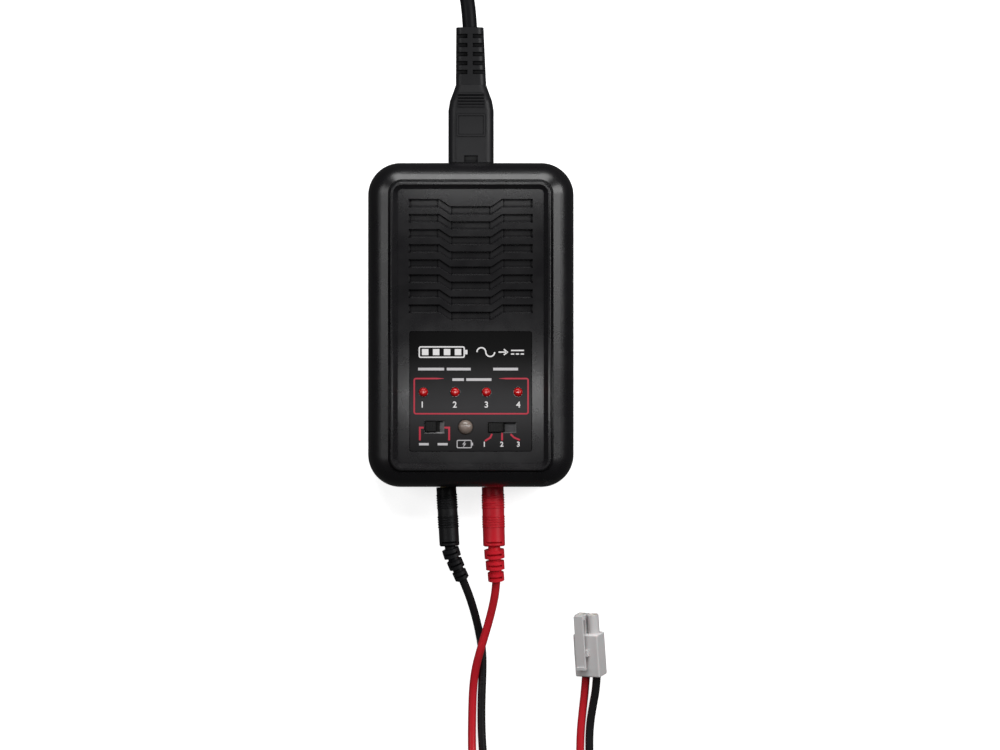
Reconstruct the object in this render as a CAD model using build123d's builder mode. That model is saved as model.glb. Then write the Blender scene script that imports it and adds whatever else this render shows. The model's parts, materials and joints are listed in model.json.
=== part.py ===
from build123d import *
import os
from math import pi, radians, tan

os.makedirs("parts", exist_ok=True)

# Balance battery charger with its detachable mains lead and its charging lead.
# Frame: origin on the table under the middle of the case, +Y towards the mains inlet, +Z up, mm.

# ---- driving dimensions: case ----
case_width = 69.8
case_length = 110.0
case_corner = 11.0
foot_height = 1.3
wall = 2.0
seam_z = 14.6
port_z = 14.6
shoulder_z = 32.5
shoulder_r = 8.0
deck_z = 35.7
ridge_z = 37.0
panel_z = 35.5
ceiling_z = 33.2
lid_pocket_z = 30.2
floor_z = foot_height + wall
lip_height = 1.2

# ---- raised ring round the recessed top panel; each frame grows from the panel's own outline ----
panel_half_x = 24.7
panel_half_y = 46.4
panel_y = -0.5
panel_corner = 1.5
ridge_inner = 1.6
ridge_outer = 2.5
groove_outer = 3.3
groove_depth = 0.5

# ---- vents: eight chevron channels with pockets ----
vent_rows = 8
vent_pitch = 5.10
vent_top_y = 42.6
vent_height = 3.0
vent_drop = 2.46
vent_inner_x = 7.0
vent_step_x = 10.6
vent_outer_x = 21.0
vent_depth = 0.8
pocket_depth = 0.5
vent_draft = 22.0
vent_lip = 0.7

# ---- label, lights and switches ----
label_width = 41.5
label_length = 40.7
label_y = -22.55
label_recess = 0.5
label_sheet = 0.35
label_gap = 0.2
cell_light_x = (-16.0, -5.3, 5.3, 16.0)
cell_light_y = -22.8
cell_light_d = 3.1
status_light = (-1.75, -34.6)
status_light_d = 5.0
light_gap = 0.2
chem_window = (-12.3, -34.6, 6.8, 4.4)
chem_slot = (-12.45, -34.45, 6.3, 3.7)
chem_knob = (-13.5, -34.45, 4.0, 3.5)
current_window = (10.6, -34.78, 9.6, 3.66)
current_slot = (10.48, -34.75, 9.3, 3.3)
current_knob = (8.45, -34.75, 5.1, 3.1)
knob_top_z = 35.9

# ---- boards and fixings ----
board_z = 6.8
board_thick = 1.6
board_top = board_z + board_thick
board_size = (64.0, 104.0)
board_notch = 12.0
board_screws = ((-26.0, -34.0), (-26.0, 34.0), (26.0, 34.0), (15.0, -36.0))
control_z = 26.0
control_top = control_z + board_thick
control_screws = ((-10.65, -22.8), (10.65, -22.8))
post_spacing = (54.4, 96.4)
post_d = 6.2
foot_spacing = (48.0, 76.0)
foot_d = 8.0
foot_recess = 0.4

# ---- ports ----
inlet_size = (20.0, 12.4)
inlet_back_y = 40.5
inlet_pin_x = 4.3
inlet_pin_d = 2.4
banana_x = {"black": -8.5, "red": 7.4}
banana_pin_d = 4.0
banana_hole_d = 4.1
balance_pitch = 2.5
balance_ports = (
    ("balance_socket_2s", 3, -33.3), ("balance_socket_3s", 4, -18.3), ("balance_socket_4s", 5, -0.8),
)
balance_front_x = 34.7
balance_depth = 11.5
balance_height = 5.8
balance_pin_z = board_top + 3.0

# ---- leads ----
mains_d = 5.0
coil_centre = (22.0, 160.0)
coil_outer_r = 37.5
coil_inner_r = 17.5
coil_height = 10.0
plug_x = -15.0
plug_z = 6.85
plug_back_y = 185.0
plug_face_y = 221.0
plug_pin_x = 9.3
plug_pin_d = 4.0
plug_root_d = 3.2
plug_pin_length = 19.0
wire_d = 2.8


def keep(piece, name):
    """Label a finished piece and write it to its own STEP file."""
    piece.part.label = name
    export_step(piece.part, f"parts/{name}.step")


def panel_frame(grow):
    """Rounded rectangle that stands off the top panel's outline by grow."""
    with Locations((0, panel_y)):
        RectangleRounded(2 * (panel_half_x + grow), 2 * (panel_half_y + grow), panel_corner + grow)


def port_windows(low, high):
    """Openings in the end walls for the mains inlet and the two output sockets, between two heights."""
    window_z = (low + high) / 2
    with BuildPart(mode=Mode.PRIVATE) as cutter:
        with Locations((0, case_length / 2, port_z)):
            Box(inlet_size[0] + 0.4, 3 * wall, inlet_size[1] + 0.4)
        for x in banana_x.values():
            with Locations((x, -case_length / 2, port_z)):
                Cylinder(4.8, 3 * wall, rotation=(90, 0, 0))
        with Locations((0, 0, window_z)):
            Box(2 * case_width, 2 * case_length, high - low, mode=Mode.INTERSECT)
    return cutter.part


# ---- case: top cover ----
with BuildPart() as top_cover:
    with BuildSketch(Plane.XY.offset(seam_z)):
        RectangleRounded(case_width, case_length, case_corner)
    extrude(amount=shoulder_z - seam_z)
    with BuildSketch(Plane.XY.offset(shoulder_z)):
        RectangleRounded(case_width, case_length, case_corner)
    with BuildSketch(Plane.XY.offset(deck_z)):
        panel_frame(groove_outer)
    loft()
    bend = top_cover.edges().filter_by(lambda edge: abs(edge.center().Z - shoulder_z) < 0.01)
    fillet(bend, radius=shoulder_r)
    # groove, then the ridge inside it
    with BuildSketch(Plane.XY.offset(deck_z - groove_depth)):
        panel_frame(groove_outer - 0.01)
        with Locations((0, panel_y)):
            Rectangle(2 * panel_half_x, 2 * panel_half_y, mode=Mode.SUBTRACT)
    extrude(amount=ridge_z, mode=Mode.SUBTRACT)
    with BuildSketch(Plane.XY.offset(ceiling_z + 0.5)):
        panel_frame(ridge_outer)
    extrude(amount=ridge_z - ceiling_z - 0.5)
    rim = top_cover.edges().filter_by(lambda edge: abs(edge.center().Z - ridge_z) < 0.01)
    fillet(rim, radius=0.43)
    # inside the ridge: a steep wall down to the panel
    for height, grow in ((panel_z, 0), (ridge_z + 0.05, ridge_inner)):
        with BuildSketch(Plane.XY.offset(height)):
            panel_frame(grow)
    loft(ruled=True, mode=Mode.SUBTRACT)
    # vent channels and their deeper pockets, all with drafted walls
    with BuildSketch(Plane.XY.offset(panel_z)):
        for row in range(vent_rows):
            y = vent_top_y - row * vent_pitch
            upper = [(vent_inner_x, y - vent_drop), (vent_step_x, y), (vent_outer_x, y)]
            left = [(-x, height) for x, height in reversed(upper)]
            lower = [(x, height - vent_height) for x, height in reversed(left + upper)]
            Polygon(*left, *upper, *lower, align=None)
    extrude(amount=-vent_depth, taper=vent_draft, mode=Mode.SUBTRACT)
    with BuildSketch(Plane.XY.offset(panel_z - vent_depth)):
        for row in range(vent_rows):
            y = vent_top_y - row * vent_pitch - vent_height / 2
            with Locations((0, y - vent_drop)):
                Rectangle(2 * vent_inner_x - vent_lip, vent_height - vent_lip)
            with Locations((-(vent_outer_x + vent_step_x) / 2, y), ((vent_outer_x + vent_step_x) / 2, y)):
                Rectangle(vent_outer_x - vent_step_x - vent_lip, vent_height - vent_lip)
    extrude(amount=-pocket_depth, taper=vent_draft, mode=Mode.SUBTRACT)
    # recess for the label sheet, windows and light holes
    with BuildSketch(Plane.XY.offset(panel_z - label_recess)):
        with Locations((0, label_y)):
            RectangleRounded(label_width, label_length, 0.8)
    extrude(amount=2 * label_recess, mode=Mode.SUBTRACT)
    with BuildSketch(Plane.XY.offset(ceiling_z - 1)):
        for x, y, width, length in (chem_window, current_window):
            with Locations((x, y)):
                Rectangle(width, length)
        for x in cell_light_x:
            with Locations((x, cell_light_y)):
                Circle(cell_light_d / 2 + light_gap / 2)
        with Locations(status_light):
            Circle(status_light_d / 2 + light_gap / 2)
    extrude(amount=4, mode=Mode.SUBTRACT)
    # hollow inside, with a rebate for the lip of the bottom case
    with BuildSketch(Plane.XY.offset(seam_z)):
        RectangleRounded(case_width - 2 * wall, case_length - 2 * wall, case_corner - wall)
    extrude(amount=lid_pocket_z - seam_z, mode=Mode.SUBTRACT)
    with BuildSketch(Plane.XY.offset(lid_pocket_z - 1)):
        panel_frame(-0.5)
    extrude(amount=ceiling_z - lid_pocket_z + 1, mode=Mode.SUBTRACT)
    with BuildSketch(Plane.XY.offset(seam_z)):
        RectangleRounded(case_width - wall, case_length - wall, case_corner - wall / 2)
    extrude(amount=lip_height + 0.2, mode=Mode.SUBTRACT)
    # corner posts and the bosses of the control board, with their pilot holes
    with BuildSketch(Plane.XY.offset(seam_z)):
        with GridLocations(*post_spacing, 2, 2):
            Circle(post_d / 2)
    extrude(amount=lid_pocket_z - seam_z + 0.5)
    with BuildSketch(Plane.XY.offset(seam_z)):
        with GridLocations(*post_spacing, 2, 2):
            Circle(1.25)
    extrude(amount=11, mode=Mode.SUBTRACT)
    with BuildSketch(Plane.XY.offset(control_top)):
        with Locations(*control_screws):
            Circle(2.1)
    extrude(amount=ceiling_z - control_top + 0.3)
    with BuildSketch(Plane.XY.offset(control_top)):
        with Locations(*control_screws):
            Circle(0.9)
    extrude(amount=4.2, mode=Mode.SUBTRACT)
    add(port_windows(seam_z - 1, ridge_z), mode=Mode.SUBTRACT)
keep(top_cover, "top_cover")

# ---- case: bottom case ----
with BuildPart() as bottom_case:
    with BuildSketch(Plane.XY.offset(foot_height)):
        RectangleRounded(case_width, case_length, case_corner)
    extrude(amount=seam_z - foot_height)
    fillet(bottom_case.faces().sort_by(Axis.Z)[0].edges(), radius=2.5)
    with BuildSketch(Plane.XY.offset(seam_z)):
        RectangleRounded(case_width - wall - 0.2, case_length - wall - 0.2, case_corner - wall / 2 - 0.1)
    extrude(amount=lip_height)
    with BuildSketch(Plane.XY.offset(floor_z)):
        RectangleRounded(case_width - 2 * wall, case_length - 2 * wall, case_corner - wall)
    extrude(amount=2 * seam_z, mode=Mode.SUBTRACT)
    # screw posts, counterbored from below
    with BuildSketch(Plane.XY.offset(foot_height + 1)):
        with GridLocations(*post_spacing, 2, 2):
            Circle(post_d / 2)
    extrude(amount=seam_z - foot_height - 1)
    with BuildSketch(Plane.XY.offset(foot_height - 1)):
        with GridLocations(*post_spacing, 2, 2):
            Circle(2.5)
    extrude(amount=9, mode=Mode.SUBTRACT)
    with BuildSketch(Plane.XY.offset(foot_height)):
        with GridLocations(*post_spacing, 2, 2):
            Circle(1.45)
    extrude(amount=2 * seam_z, mode=Mode.SUBTRACT)
    # standoffs of the main board
    with BuildSketch(Plane.XY.offset(floor_z - 1)):
        with Locations(*board_screws):
            Circle(2.75)
    extrude(amount=board_z - floor_z + 1)
    with BuildSketch(Plane.XY.offset(floor_z - 0.4)):
        with Locations(*board_screws):
            Circle(1.1)
    extrude(amount=board_z, mode=Mode.SUBTRACT)
    # recesses of the feet and two fields of cooling slots
    with BuildSketch(Plane.XY.offset(foot_height - 1)):
        with GridLocations(*foot_spacing, 2, 2):
            Circle(foot_d / 2 + 0.05)
    extrude(amount=1 + foot_recess, mode=Mode.SUBTRACT)
    with BuildSketch(Plane.XY.offset(foot_height - 1)):
        with Locations((0, 33), (0, -29)):
            with GridLocations(1, 3.4, 1, 5):
                SlotOverall(26, 1.6)
    extrude(amount=wall + 1.5, mode=Mode.SUBTRACT)
    # openings in the walls
    add(port_windows(0, 2 * seam_z), mode=Mode.SUBTRACT)
    for _, ways, y in balance_ports:
        with Locations((case_width / 2, y, (board_top + seam_z + 4) / 2 - 0.2)):
            Box(3 * wall, balance_pitch * (ways - 1) + 5.3, seam_z + 4 - board_top + 0.4, mode=Mode.SUBTRACT)
keep(bottom_case, "bottom_case")

with BuildPart() as rubber_feet:
    with BuildSketch():
        with GridLocations(*foot_spacing, 2, 2):
            Circle(foot_d / 2)
    extrude(amount=foot_height + foot_recess)
    fillet(rubber_feet.faces().group_by(Axis.Z)[0].edges(), radius=0.4)
keep(rubber_feet, "rubber_feet")

with BuildPart() as rating_label:
    with BuildSketch(Plane.XY.offset(foot_height - 0.2)):
        RectangleRounded(38, 30, 1.5)
    extrude(amount=0.2)
keep(rating_label, "rating_label")


def screws(places, top_of_head, head_d, head_height, shank_d, shank_length, up):
    """A set of pan-head screws, each a head with a cross recess and a shank, pointing up or down."""
    way = 1 if up else -1
    with BuildPart(mode=Mode.PRIVATE) as group:
        with BuildSketch(Plane.XY.offset(top_of_head)):
            with Locations(*places):
                Circle(head_d / 2)
        extrude(amount=way * head_height)
        with BuildSketch(Plane.XY.offset(top_of_head)):
            with Locations(*places):
                Circle(shank_d / 2)
        extrude(amount=way * (head_height + shank_length))
        with BuildSketch(Plane.XY.offset(top_of_head)):
            with Locations(*places):
                Rectangle(head_d * 0.6, head_d * 0.14)
                Rectangle(head_d * 0.14, head_d * 0.6)
        extrude(amount=way * head_height * 0.55, mode=Mode.SUBTRACT)
    return group


post_places = [(x * post_spacing[0] / 2, y * post_spacing[1] / 2) for x in (-1, 1) for y in (-1, 1)]
case_screws = screws(post_places, foot_height + 6.2, 4.8, 1.8, 2.5, 14.0, up=True)
keep(case_screws, "case_screws")
main_board_screws = screws(board_screws, board_top + 1.5, 4.0, 1.5, 2.2, 4.6, up=False)
keep(main_board_screws, "board_screws")
panel_screws = screws(control_screws, control_z - 1.4, 3.6, 1.4, 1.8, 5.0, up=True)
keep(panel_screws, "control_screws")

# ---- boards ----
with BuildPart() as main_board:
    with BuildSketch(Plane.XY.offset(board_z)):
        Rectangle(*board_size)
        with GridLocations(board_size[0], board_size[1], 2, 2):
            Rectangle(2 * board_notch, 2 * board_notch, mode=Mode.SUBTRACT)
        with Locations(*board_screws):
            Circle(1.3, mode=Mode.SUBTRACT)
    extrude(amount=board_thick)
keep(main_board, "main_board")

with BuildPart() as control_board:
    with BuildSketch(Plane.XY.offset(control_z)):
        with Locations((0, -29.5)):
            Rectangle(41, 23)
        with Locations(*control_screws):
            Circle(1.1, mode=Mode.SUBTRACT)
    extrude(amount=board_thick)
keep(control_board, "control_board")

header_x = 18.0
header_y = -24.0
header_pins_count = 6
with BuildPart() as header_block:
    with Locations((header_x, header_y, (board_top + control_z) / 2)):
        Box(2.5, header_pins_count * 2.54, control_z - board_top)
        with GridLocations(1, 2.54, 1, header_pins_count):
            Box(0.64, 0.64, control_z - board_top, mode=Mode.SUBTRACT)
keep(header_block, "header_block")
with BuildPart() as header_pins:
    with Locations((header_x, header_y, (board_top + control_z) / 2)):
        with GridLocations(1, 2.54, 1, header_pins_count):
            Box(0.64, 0.64, control_z - board_top)
keep(header_pins, "header_pins")

# ---- label, lights, switches ----
with BuildPart() as label_panel:
    with BuildSketch(Plane.XY.offset(panel_z - label_recess)):
        with Locations((0, label_y)):
            RectangleRounded(label_width - 2 * label_gap, label_length - 2 * label_gap, 0.6)
        for x, y, width, length in (chem_window, current_window):
            with Locations((x, y)):
                Rectangle(width, length, mode=Mode.SUBTRACT)
        for x in cell_light_x:
            with Locations((x, cell_light_y)):
                Circle(cell_light_d / 2 + light_gap / 2, mode=Mode.SUBTRACT)
        with Locations(status_light):
            Circle(status_light_d / 2 + light_gap / 2, mode=Mode.SUBTRACT)
    extrude(amount=label_sheet)
keep(label_panel, "label_panel")


def lights(places, diameter, dome_z, base_z):
    """Round indicator lights: a flange, a cylinder and a domed tip."""
    with BuildPart(mode=Mode.PRIVATE) as group:
        with BuildSketch(Plane.XY.offset(base_z)):
            with Locations(*places):
                Circle(diameter / 2 + 0.4)
        extrude(amount=1)
        with BuildSketch(Plane.XY.offset(base_z)):
            with Locations(*places):
                Circle(diameter / 2)
        extrude(amount=dome_z - base_z)
        fillet(group.edges().group_by(Axis.Z)[-1], radius=0.4 * diameter)
    return group


light_base_z = 29.6
cell_leds = lights([(x, cell_light_y) for x in cell_light_x], cell_light_d, 36.2, light_base_z)
keep(cell_leds, "cell_leds")
status_led = lights([status_light], status_light_d, 36.5, light_base_z)
keep(status_led, "status_led")
with BuildPart() as led_leads:
    for x, y in [(x, cell_light_y) for x in cell_light_x] + [status_light]:
        with Locations((x, y, (control_top + light_base_z) / 2)):
            with GridLocations(1, 2.54, 1, 2):
                Box(0.5, 0.5, light_base_z - control_top)
keep(led_leads, "led_leads")

frame_low = control_top
frame_high = 32.9


def switch_frame(slot, length):
    """Slide switch housing: a box with a hollow for the slider and a slot in its lid."""
    x, y, slot_width, slot_length = slot
    with BuildPart(mode=Mode.PRIVATE) as frame:
        with Locations((x, y, (frame_low + frame_high) / 2)):
            Box(length, 6.0, frame_high - frame_low)
            Box(length - 1, 5.0, frame_high - frame_low - 1.1, mode=Mode.SUBTRACT)
        with Locations((x, y, frame_high)):
            Box(slot_width, slot_length, 2, mode=Mode.SUBTRACT)
    return frame


def switch_knob(knob, base_length, base_shift):
    """Slider of a slide switch: a grooved knob on a wider base inside the housing."""
    x, y, width, length = knob
    with BuildPart(mode=Mode.PRIVATE) as slider:
        with Locations((x, y, (frame_low + 1.0 + knob_top_z) / 2)):
            Box(width, length, knob_top_z - frame_low - 1.0)
        chamfer(slider.faces().sort_by(Axis.Z)[-1].edges(), length=0.25)
        with Locations((x, y, knob_top_z)):
            with GridLocations(0.9, 1, int(width // 1), 1):
                Box(0.35, length, 0.7, mode=Mode.SUBTRACT)
        with Locations((x + base_shift, y, frame_low + 2.2)):
            Box(base_length, 4.6, 2.4)
    return slider


chemistry_switch_frame = switch_frame(chem_slot, 10.4)
keep(chemistry_switch_frame, "chemistry_switch_frame")
chemistry_switch_knob = switch_knob(chem_knob, 5.4, 0.3)
keep(chemistry_switch_knob, "chemistry_switch_knob")
current_switch_frame = switch_frame(current_slot, 12.4)
keep(current_switch_frame, "current_switch_frame")
current_switch_knob = switch_knob(current_knob, 5.8, 0.2)
keep(current_switch_knob, "current_switch_knob")

# ---- parts on the main board ----
with BuildPart() as mains_inlet:
    inlet_length = case_length / 2 - inlet_back_y - 0.2
    with Locations((0, inlet_back_y + inlet_length / 2, port_z)):
        Box(inlet_size[0], inlet_length, inlet_size[1])
    cavity = Plane(origin=(0, case_length / 2, port_z), x_dir=(1, 0, 0), z_dir=(0, -1, 0))
    with BuildSketch(cavity):
        SlotOverall(14.6, 8.4)
    extrude(amount=12, mode=Mode.SUBTRACT)
    with BuildSketch(cavity):
        with Locations((-inlet_pin_x, 0), (inlet_pin_x, 0)):
            Circle(inlet_pin_d / 2)
    extrude(amount=20, mode=Mode.SUBTRACT)
keep(mains_inlet, "mains_inlet")

with BuildPart() as inlet_pins:
    for x in (-inlet_pin_x, inlet_pin_x):
        with BuildSketch(Plane(origin=(x, inlet_back_y - 1.5, port_z), z_dir=(0, 1, 0))):
            Circle(inlet_pin_d / 2)
        extrude(amount=13.6)
        with Locations((x, inlet_back_y - 1.0, (board_top + port_z) / 2)):
            Box(1.6, 1.0, port_z - board_top)
keep(inlet_pins, "inlet_pins")


def output_socket(x):
    """Insulating bush of one output socket, with a collar behind the case wall."""
    with BuildPart(mode=Mode.PRIVATE) as bush:
        face = Plane(origin=(x, -case_length / 2, port_z), z_dir=(0, 1, 0))
        with BuildSketch(face):
            Circle(4.7)
        extrude(amount=7)
        with BuildSketch(face.offset(wall + 0.1)):
            Circle(5.6)
        extrude(amount=1.5)
        with BuildSketch(face):
            Circle(2.7)
        extrude(amount=8, mode=Mode.SUBTRACT)
    return bush


output_socket_black = output_socket(banana_x["black"])
keep(output_socket_black, "output_socket_black")
output_socket_red = output_socket(banana_x["red"])
keep(output_socket_red, "output_socket_red")

with BuildPart() as socket_sleeves:
    for x in banana_x.values():
        sleeve = Plane(origin=(x, -case_length / 2 + 0.4, port_z), z_dir=(0, 1, 0))
        with BuildSketch(sleeve):
            Circle(2.7)
        extrude(amount=17)
        with Locations((x, -case_length / 2 + 16, (board_top + port_z) / 2)):
            Box(2.0, 1.0, port_z - board_top)
        with BuildSketch(sleeve):
            Circle(banana_hole_d / 2)
        extrude(amount=18, mode=Mode.SUBTRACT)
keep(socket_sleeves, "socket_sleeves")


def balance_socket(ways, y):
    """Side-entry balance socket housing, open towards +X, with two keyways in its top."""
    width = balance_pitch * (ways - 1) + 4.9
    middle_z = board_top + balance_height / 2
    with BuildPart(mode=Mode.PRIVATE) as socket:
        with Locations((balance_front_x - balance_depth / 2, y, middle_z)):
            Box(balance_depth, width, balance_height)
        with Locations((balance_front_x, y, middle_z)):
            Box(2 * 7.2, width - 1.6, balance_height - 1.5, mode=Mode.SUBTRACT)
        with Locations((balance_front_x, y, board_top + balance_height)):
            with GridLocations(1, width - 5.2, 1, 2):
                Box(2 * 5, 1.0, 2, mode=Mode.SUBTRACT)
        with Locations((balance_front_x - balance_depth / 2, y, balance_pin_z)):
            with GridLocations(1, balance_pitch, 1, ways):
                Box(2 * balance_depth, 0.64, 0.64, mode=Mode.SUBTRACT)
    return socket


for name, ways, y in balance_ports:
    keep(balance_socket(ways, y), name)

with BuildPart() as balance_pins:
    back_x = balance_front_x - balance_depth - 1.0
    for _, ways, y in balance_ports:
        with Locations(((back_x + balance_front_x - 1.2) / 2, y, balance_pin_z)):
            with GridLocations(1, balance_pitch, 1, ways):
                Box(balance_front_x - 1.2 - back_x, 0.64, 0.64)
        with Locations((back_x + 0.32, y, (board_top + balance_pin_z) / 2)):
            with GridLocations(1, balance_pitch, 1, ways):
                Box(0.64, 0.64, balance_pin_z - board_top)
keep(balance_pins, "balance_pins")

transformer_y = 14.0
with BuildPart() as transformer_core:
    with Locations((0, transformer_y, board_top + 11.5)):
        Box(26, 9, 22)
        with GridLocations(12.5, 1, 2, 1):
            Box(5.5, 12, 13, mode=Mode.SUBTRACT)
keep(transformer_core, "transformer_core")
with BuildPart() as transformer_winding:
    with Locations((0, transformer_y, board_top + 11.5)):
        Box(17.4, 20, 12.6)
        Box(7.1, 9.1, 14, mode=Mode.SUBTRACT)
    for x in (-6.5, 6.5):
        for y in (transformer_y - 7.5, transformer_y + 7.5):
            with Locations((x, y, board_top + 2.6)):
                Box(2, 2, 5.2)
    fillet(transformer_winding.edges().filter_by(Axis.Z).group_by(SortBy.DISTANCE)[-1], radius=1.0)
keep(transformer_winding, "transformer_winding")

with BuildPart() as bulk_capacitor:
    with BuildSketch(Plane.XY.offset(board_top)):
        with Locations((-20.5, 24)):
            Circle(8)
    extrude(amount=21)
    fillet(bulk_capacitor.edges().sort_by(Axis.Z)[-1], radius=0.8)
keep(bulk_capacitor, "bulk_capacitor")

with BuildPart() as output_capacitors:
    with BuildSketch(Plane.XY.offset(board_top)):
        with Locations((-17.5, -30), (-7.5, -30)):
            Circle(4)
    extrude(amount=12)
    fillet(output_capacitors.edges().group_by(Axis.Z)[-1], radius=0.5)
keep(output_capacitors, "output_capacitors")

with BuildPart() as line_capacitor:
    with Locations((21, 27.2, board_top + 7)):
        Box(17.5, 8.5, 14)
    fillet(line_capacitor.edges().filter_by(Axis.Z), radius=0.6)
keep(line_capacitor, "line_capacitor")

with BuildPart() as line_choke:
    with BuildSketch(Plane(origin=(21, 15, board_top + 4), x_dir=(1, 0, 0), z_dir=(0, -1, 0))):
        with Locations((4.7, 0)):
            RectangleRounded(4.2, 8, 1.4)
    revolve(axis=Axis((21, 15, 0), (0, 0, 1)))
keep(line_choke, "line_choke")

with BuildPart() as power_inductor:
    with BuildSketch(Plane.XY.offset(board_top)):
        with Locations((5, -21)):
            Circle(6)
    extrude(amount=9)
    with BuildSketch(Plane.XY.offset(board_top + 1.5)):
        with Locations((5, -21)):
            Circle(6.5)
            Circle(5, mode=Mode.SUBTRACT)
    extrude(amount=6, mode=Mode.SUBTRACT)
keep(power_inductor, "power_inductor")

with BuildPart() as fuse:
    with BuildSketch(Plane.XY.offset(board_top)):
        with Locations((-15, 36.4)):
            Circle(4.2)
    extrude(amount=8)
    fillet(fuse.edges().sort_by(Axis.Z)[-1], radius=0.6)
keep(fuse, "fuse")

with BuildPart() as bridge_rectifier:
    with Locations((14.5, 36, board_top + 5)):
        Box(12, 4.6, 10)
    chamfer(bridge_rectifier.edges().filter_by(Axis.Y).sort_by(Axis.Z)[-1], length=2)
keep(bridge_rectifier, "bridge_rectifier")

with BuildPart() as heat_sink:
    with Locations((-26.0, -6, board_top + 9)):
        Box(2, 30, 18)
    with Locations((-28.9, -6, board_top + 9)):
        with GridLocations(1, 4.6, 1, 7):
            Box(4, 1.2, 18)
keep(heat_sink, "heat_sink")

with BuildPart() as power_transistors:
    for y in (-14.0, 2.0):
        with Locations((-22.75, y, board_top + 9)):
            Box(4.5, 10, 9)
        with Locations((-24.35, y, board_top + 9.5)):
            Box(1.3, 10, 15)
        with Locations((-23, y, board_top + 2.5)):
            with GridLocations(1, 2.54, 1, 3):
                Box(0.6, 0.8, 5)
keep(power_transistors, "power_transistors")

with BuildPart() as control_chip:
    with Locations((6, -7, board_top + 0.9)):
        Box(10, 10, 1.5)
        with GridLocations(1.27, 12.0, 7, 2):
            Box(0.5, 2.2, 0.4)
        with GridLocations(12.0, 1.27, 2, 7):
            Box(2.2, 0.5, 0.4)
keep(control_chip, "control_chip")

# ---- mains lead: inlet connector with its strain relief ----
relief_end_y = 101.8
relief_slots = (98.8, 95.7, 92.6, 89.5, 86.5)


def cross_plane(x, y, z):
    """Plane across the line of a lead that runs along Y."""
    return Plane(origin=(x, y, z), x_dir=(1, 0, 0), z_dir=(0, 1, 0))


with BuildPart() as mains_connector:
    with BuildSketch(cross_plane(0, case_length / 2 + 0.2, port_z)):
        RectangleRounded(15.5, 9.8, 3)
    extrude(amount=18.1)
    fillet(mains_connector.faces().sort_by(Axis.Y)[0].edges(), radius=0.5)
    for x, y, width, height, corner in ((0, 73.3, 15.5, 9.8, 3.0), (0, 76.6, 14.4, 9.4, 3.0),
                                        (0, 79.6, 12.2, 8.4, 2.9), (0, 82.1, 10.4, 7.6, 2.6)):
        with BuildSketch(cross_plane(x, y, port_z)):
            RectangleRounded(width, height, corner)
    loft(ruled=True)
    for x, y, width, height in ((0, 82.1, 10.4, 7.4), (-0.4, relief_end_y, 9.4, 6.4)):
        with BuildSketch(cross_plane(x, y, port_z)):
            RectangleRounded(width, height, 2.4)
    loft()
    for y in relief_slots:
        for side in (-1, 1):
            for level in (-1, 1):
                with Locations((-0.3 + side * 3.1, y, port_z + level * 3.1)):
                    Box(4.4, 1.5, 2.6, mode=Mode.SUBTRACT)
    # grip ribs, a blank raised square and a finger hollow on the top face
    with BuildSketch(Plane.XY.offset(port_z + 4)):
        with Locations((0, 68.3)):
            RectangleRounded(9.8, 7.6, 0.6)
            RectangleRounded(8.8, 6.6, 0.4, mode=Mode.SUBTRACT)
        with Locations((0, 76.9)):
            with GridLocations(1, 1.05, 1, 5):
                RectangleRounded(9.2, 0.45, 0.2)
    extrude(amount=1.15)
    with Locations((0, 56.8, port_z + 4.9)):
        Box(4.6, 2.3, 3.2, mode=Mode.SUBTRACT)
    # nose that goes into the inlet
    with BuildSketch(cross_plane(0, 44.0, port_z)):
        SlotOverall(13.8, 7.6)
    extrude(amount=12)
    with BuildSketch(cross_plane(0, 44.0, port_z)):
        with Locations((-inlet_pin_x, 0), (inlet_pin_x, 0)):
            Circle(1.7)
    extrude(amount=11, mode=Mode.SUBTRACT)
keep(mains_connector, "mains_connector")

with BuildPart() as connector_contacts:
    for x in (-inlet_pin_x, inlet_pin_x):
        with BuildSketch(cross_plane(x, 44.4, port_z)):
            Circle(1.7)
            Circle(inlet_pin_d / 2 + 0.06, mode=Mode.SUBTRACT)
        extrude(amount=10.2)
keep(connector_contacts, "connector_contacts")

# ---- cords: straight runs joined by tangent arcs ----
# Each arc's radius is 0.45 of its shorter run over the tangent of half the turn.


def cord(route, diameter, name):
    """Round cord along a route of hand-set points."""
    points = [Vector(*point) for point in route]
    runs = [after - before for before, after in zip(points, points[1:])]
    radii = []
    for first, second in zip(runs, runs[1:]):
        half_turn = radians(first.get_angle(second)) / 2
        radii.append(0.45 * min(first.length, second.length) / tan(half_turn))
    with BuildPart(mode=Mode.PRIVATE) as tube:
        with BuildLine():
            path = FilletPolyline(*points, radius=radii)
        with BuildSketch(Plane(origin=points[0], z_dir=runs[0])):
            Circle(diameter / 2)
        sweep(path=path)
    share = tube.part.volume / (pi * diameter**2 / 4 * path.length)
    print(f"{name}: length {path.length:.1f}, volume over section times length {share:.4f}")
    print("  radii", " ".join(f"{radius:.0f}" for radius in radii))
    print("  runs", " ".join(f"{run.length:.1f}" for run in runs))
    return tube


mains_route = (
    (-0.4, 101.8, 14.6), (-0.8, 108.5, 14.3), (-2.2, 116.3, 12.9), (-4.7, 125.1, 10.2),
    (-7.8, 134.5, 6.9), (-10.6, 144.2, 4.1), (-12.4, 153.8, 2.75),
)
mains_cord = cord(mains_route, mains_d, "mains_cord")
keep(mains_cord, "mains_cord")

with BuildPart() as mains_coil:
    with BuildSketch():
        with Locations(coil_centre):
            Circle(coil_outer_r)
            Circle(coil_inner_r, mode=Mode.SUBTRACT)
    extrude(amount=coil_height)
    fillet(mains_coil.edges(), radius=2.4)
keep(mains_coil, "mains_coil")

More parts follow.
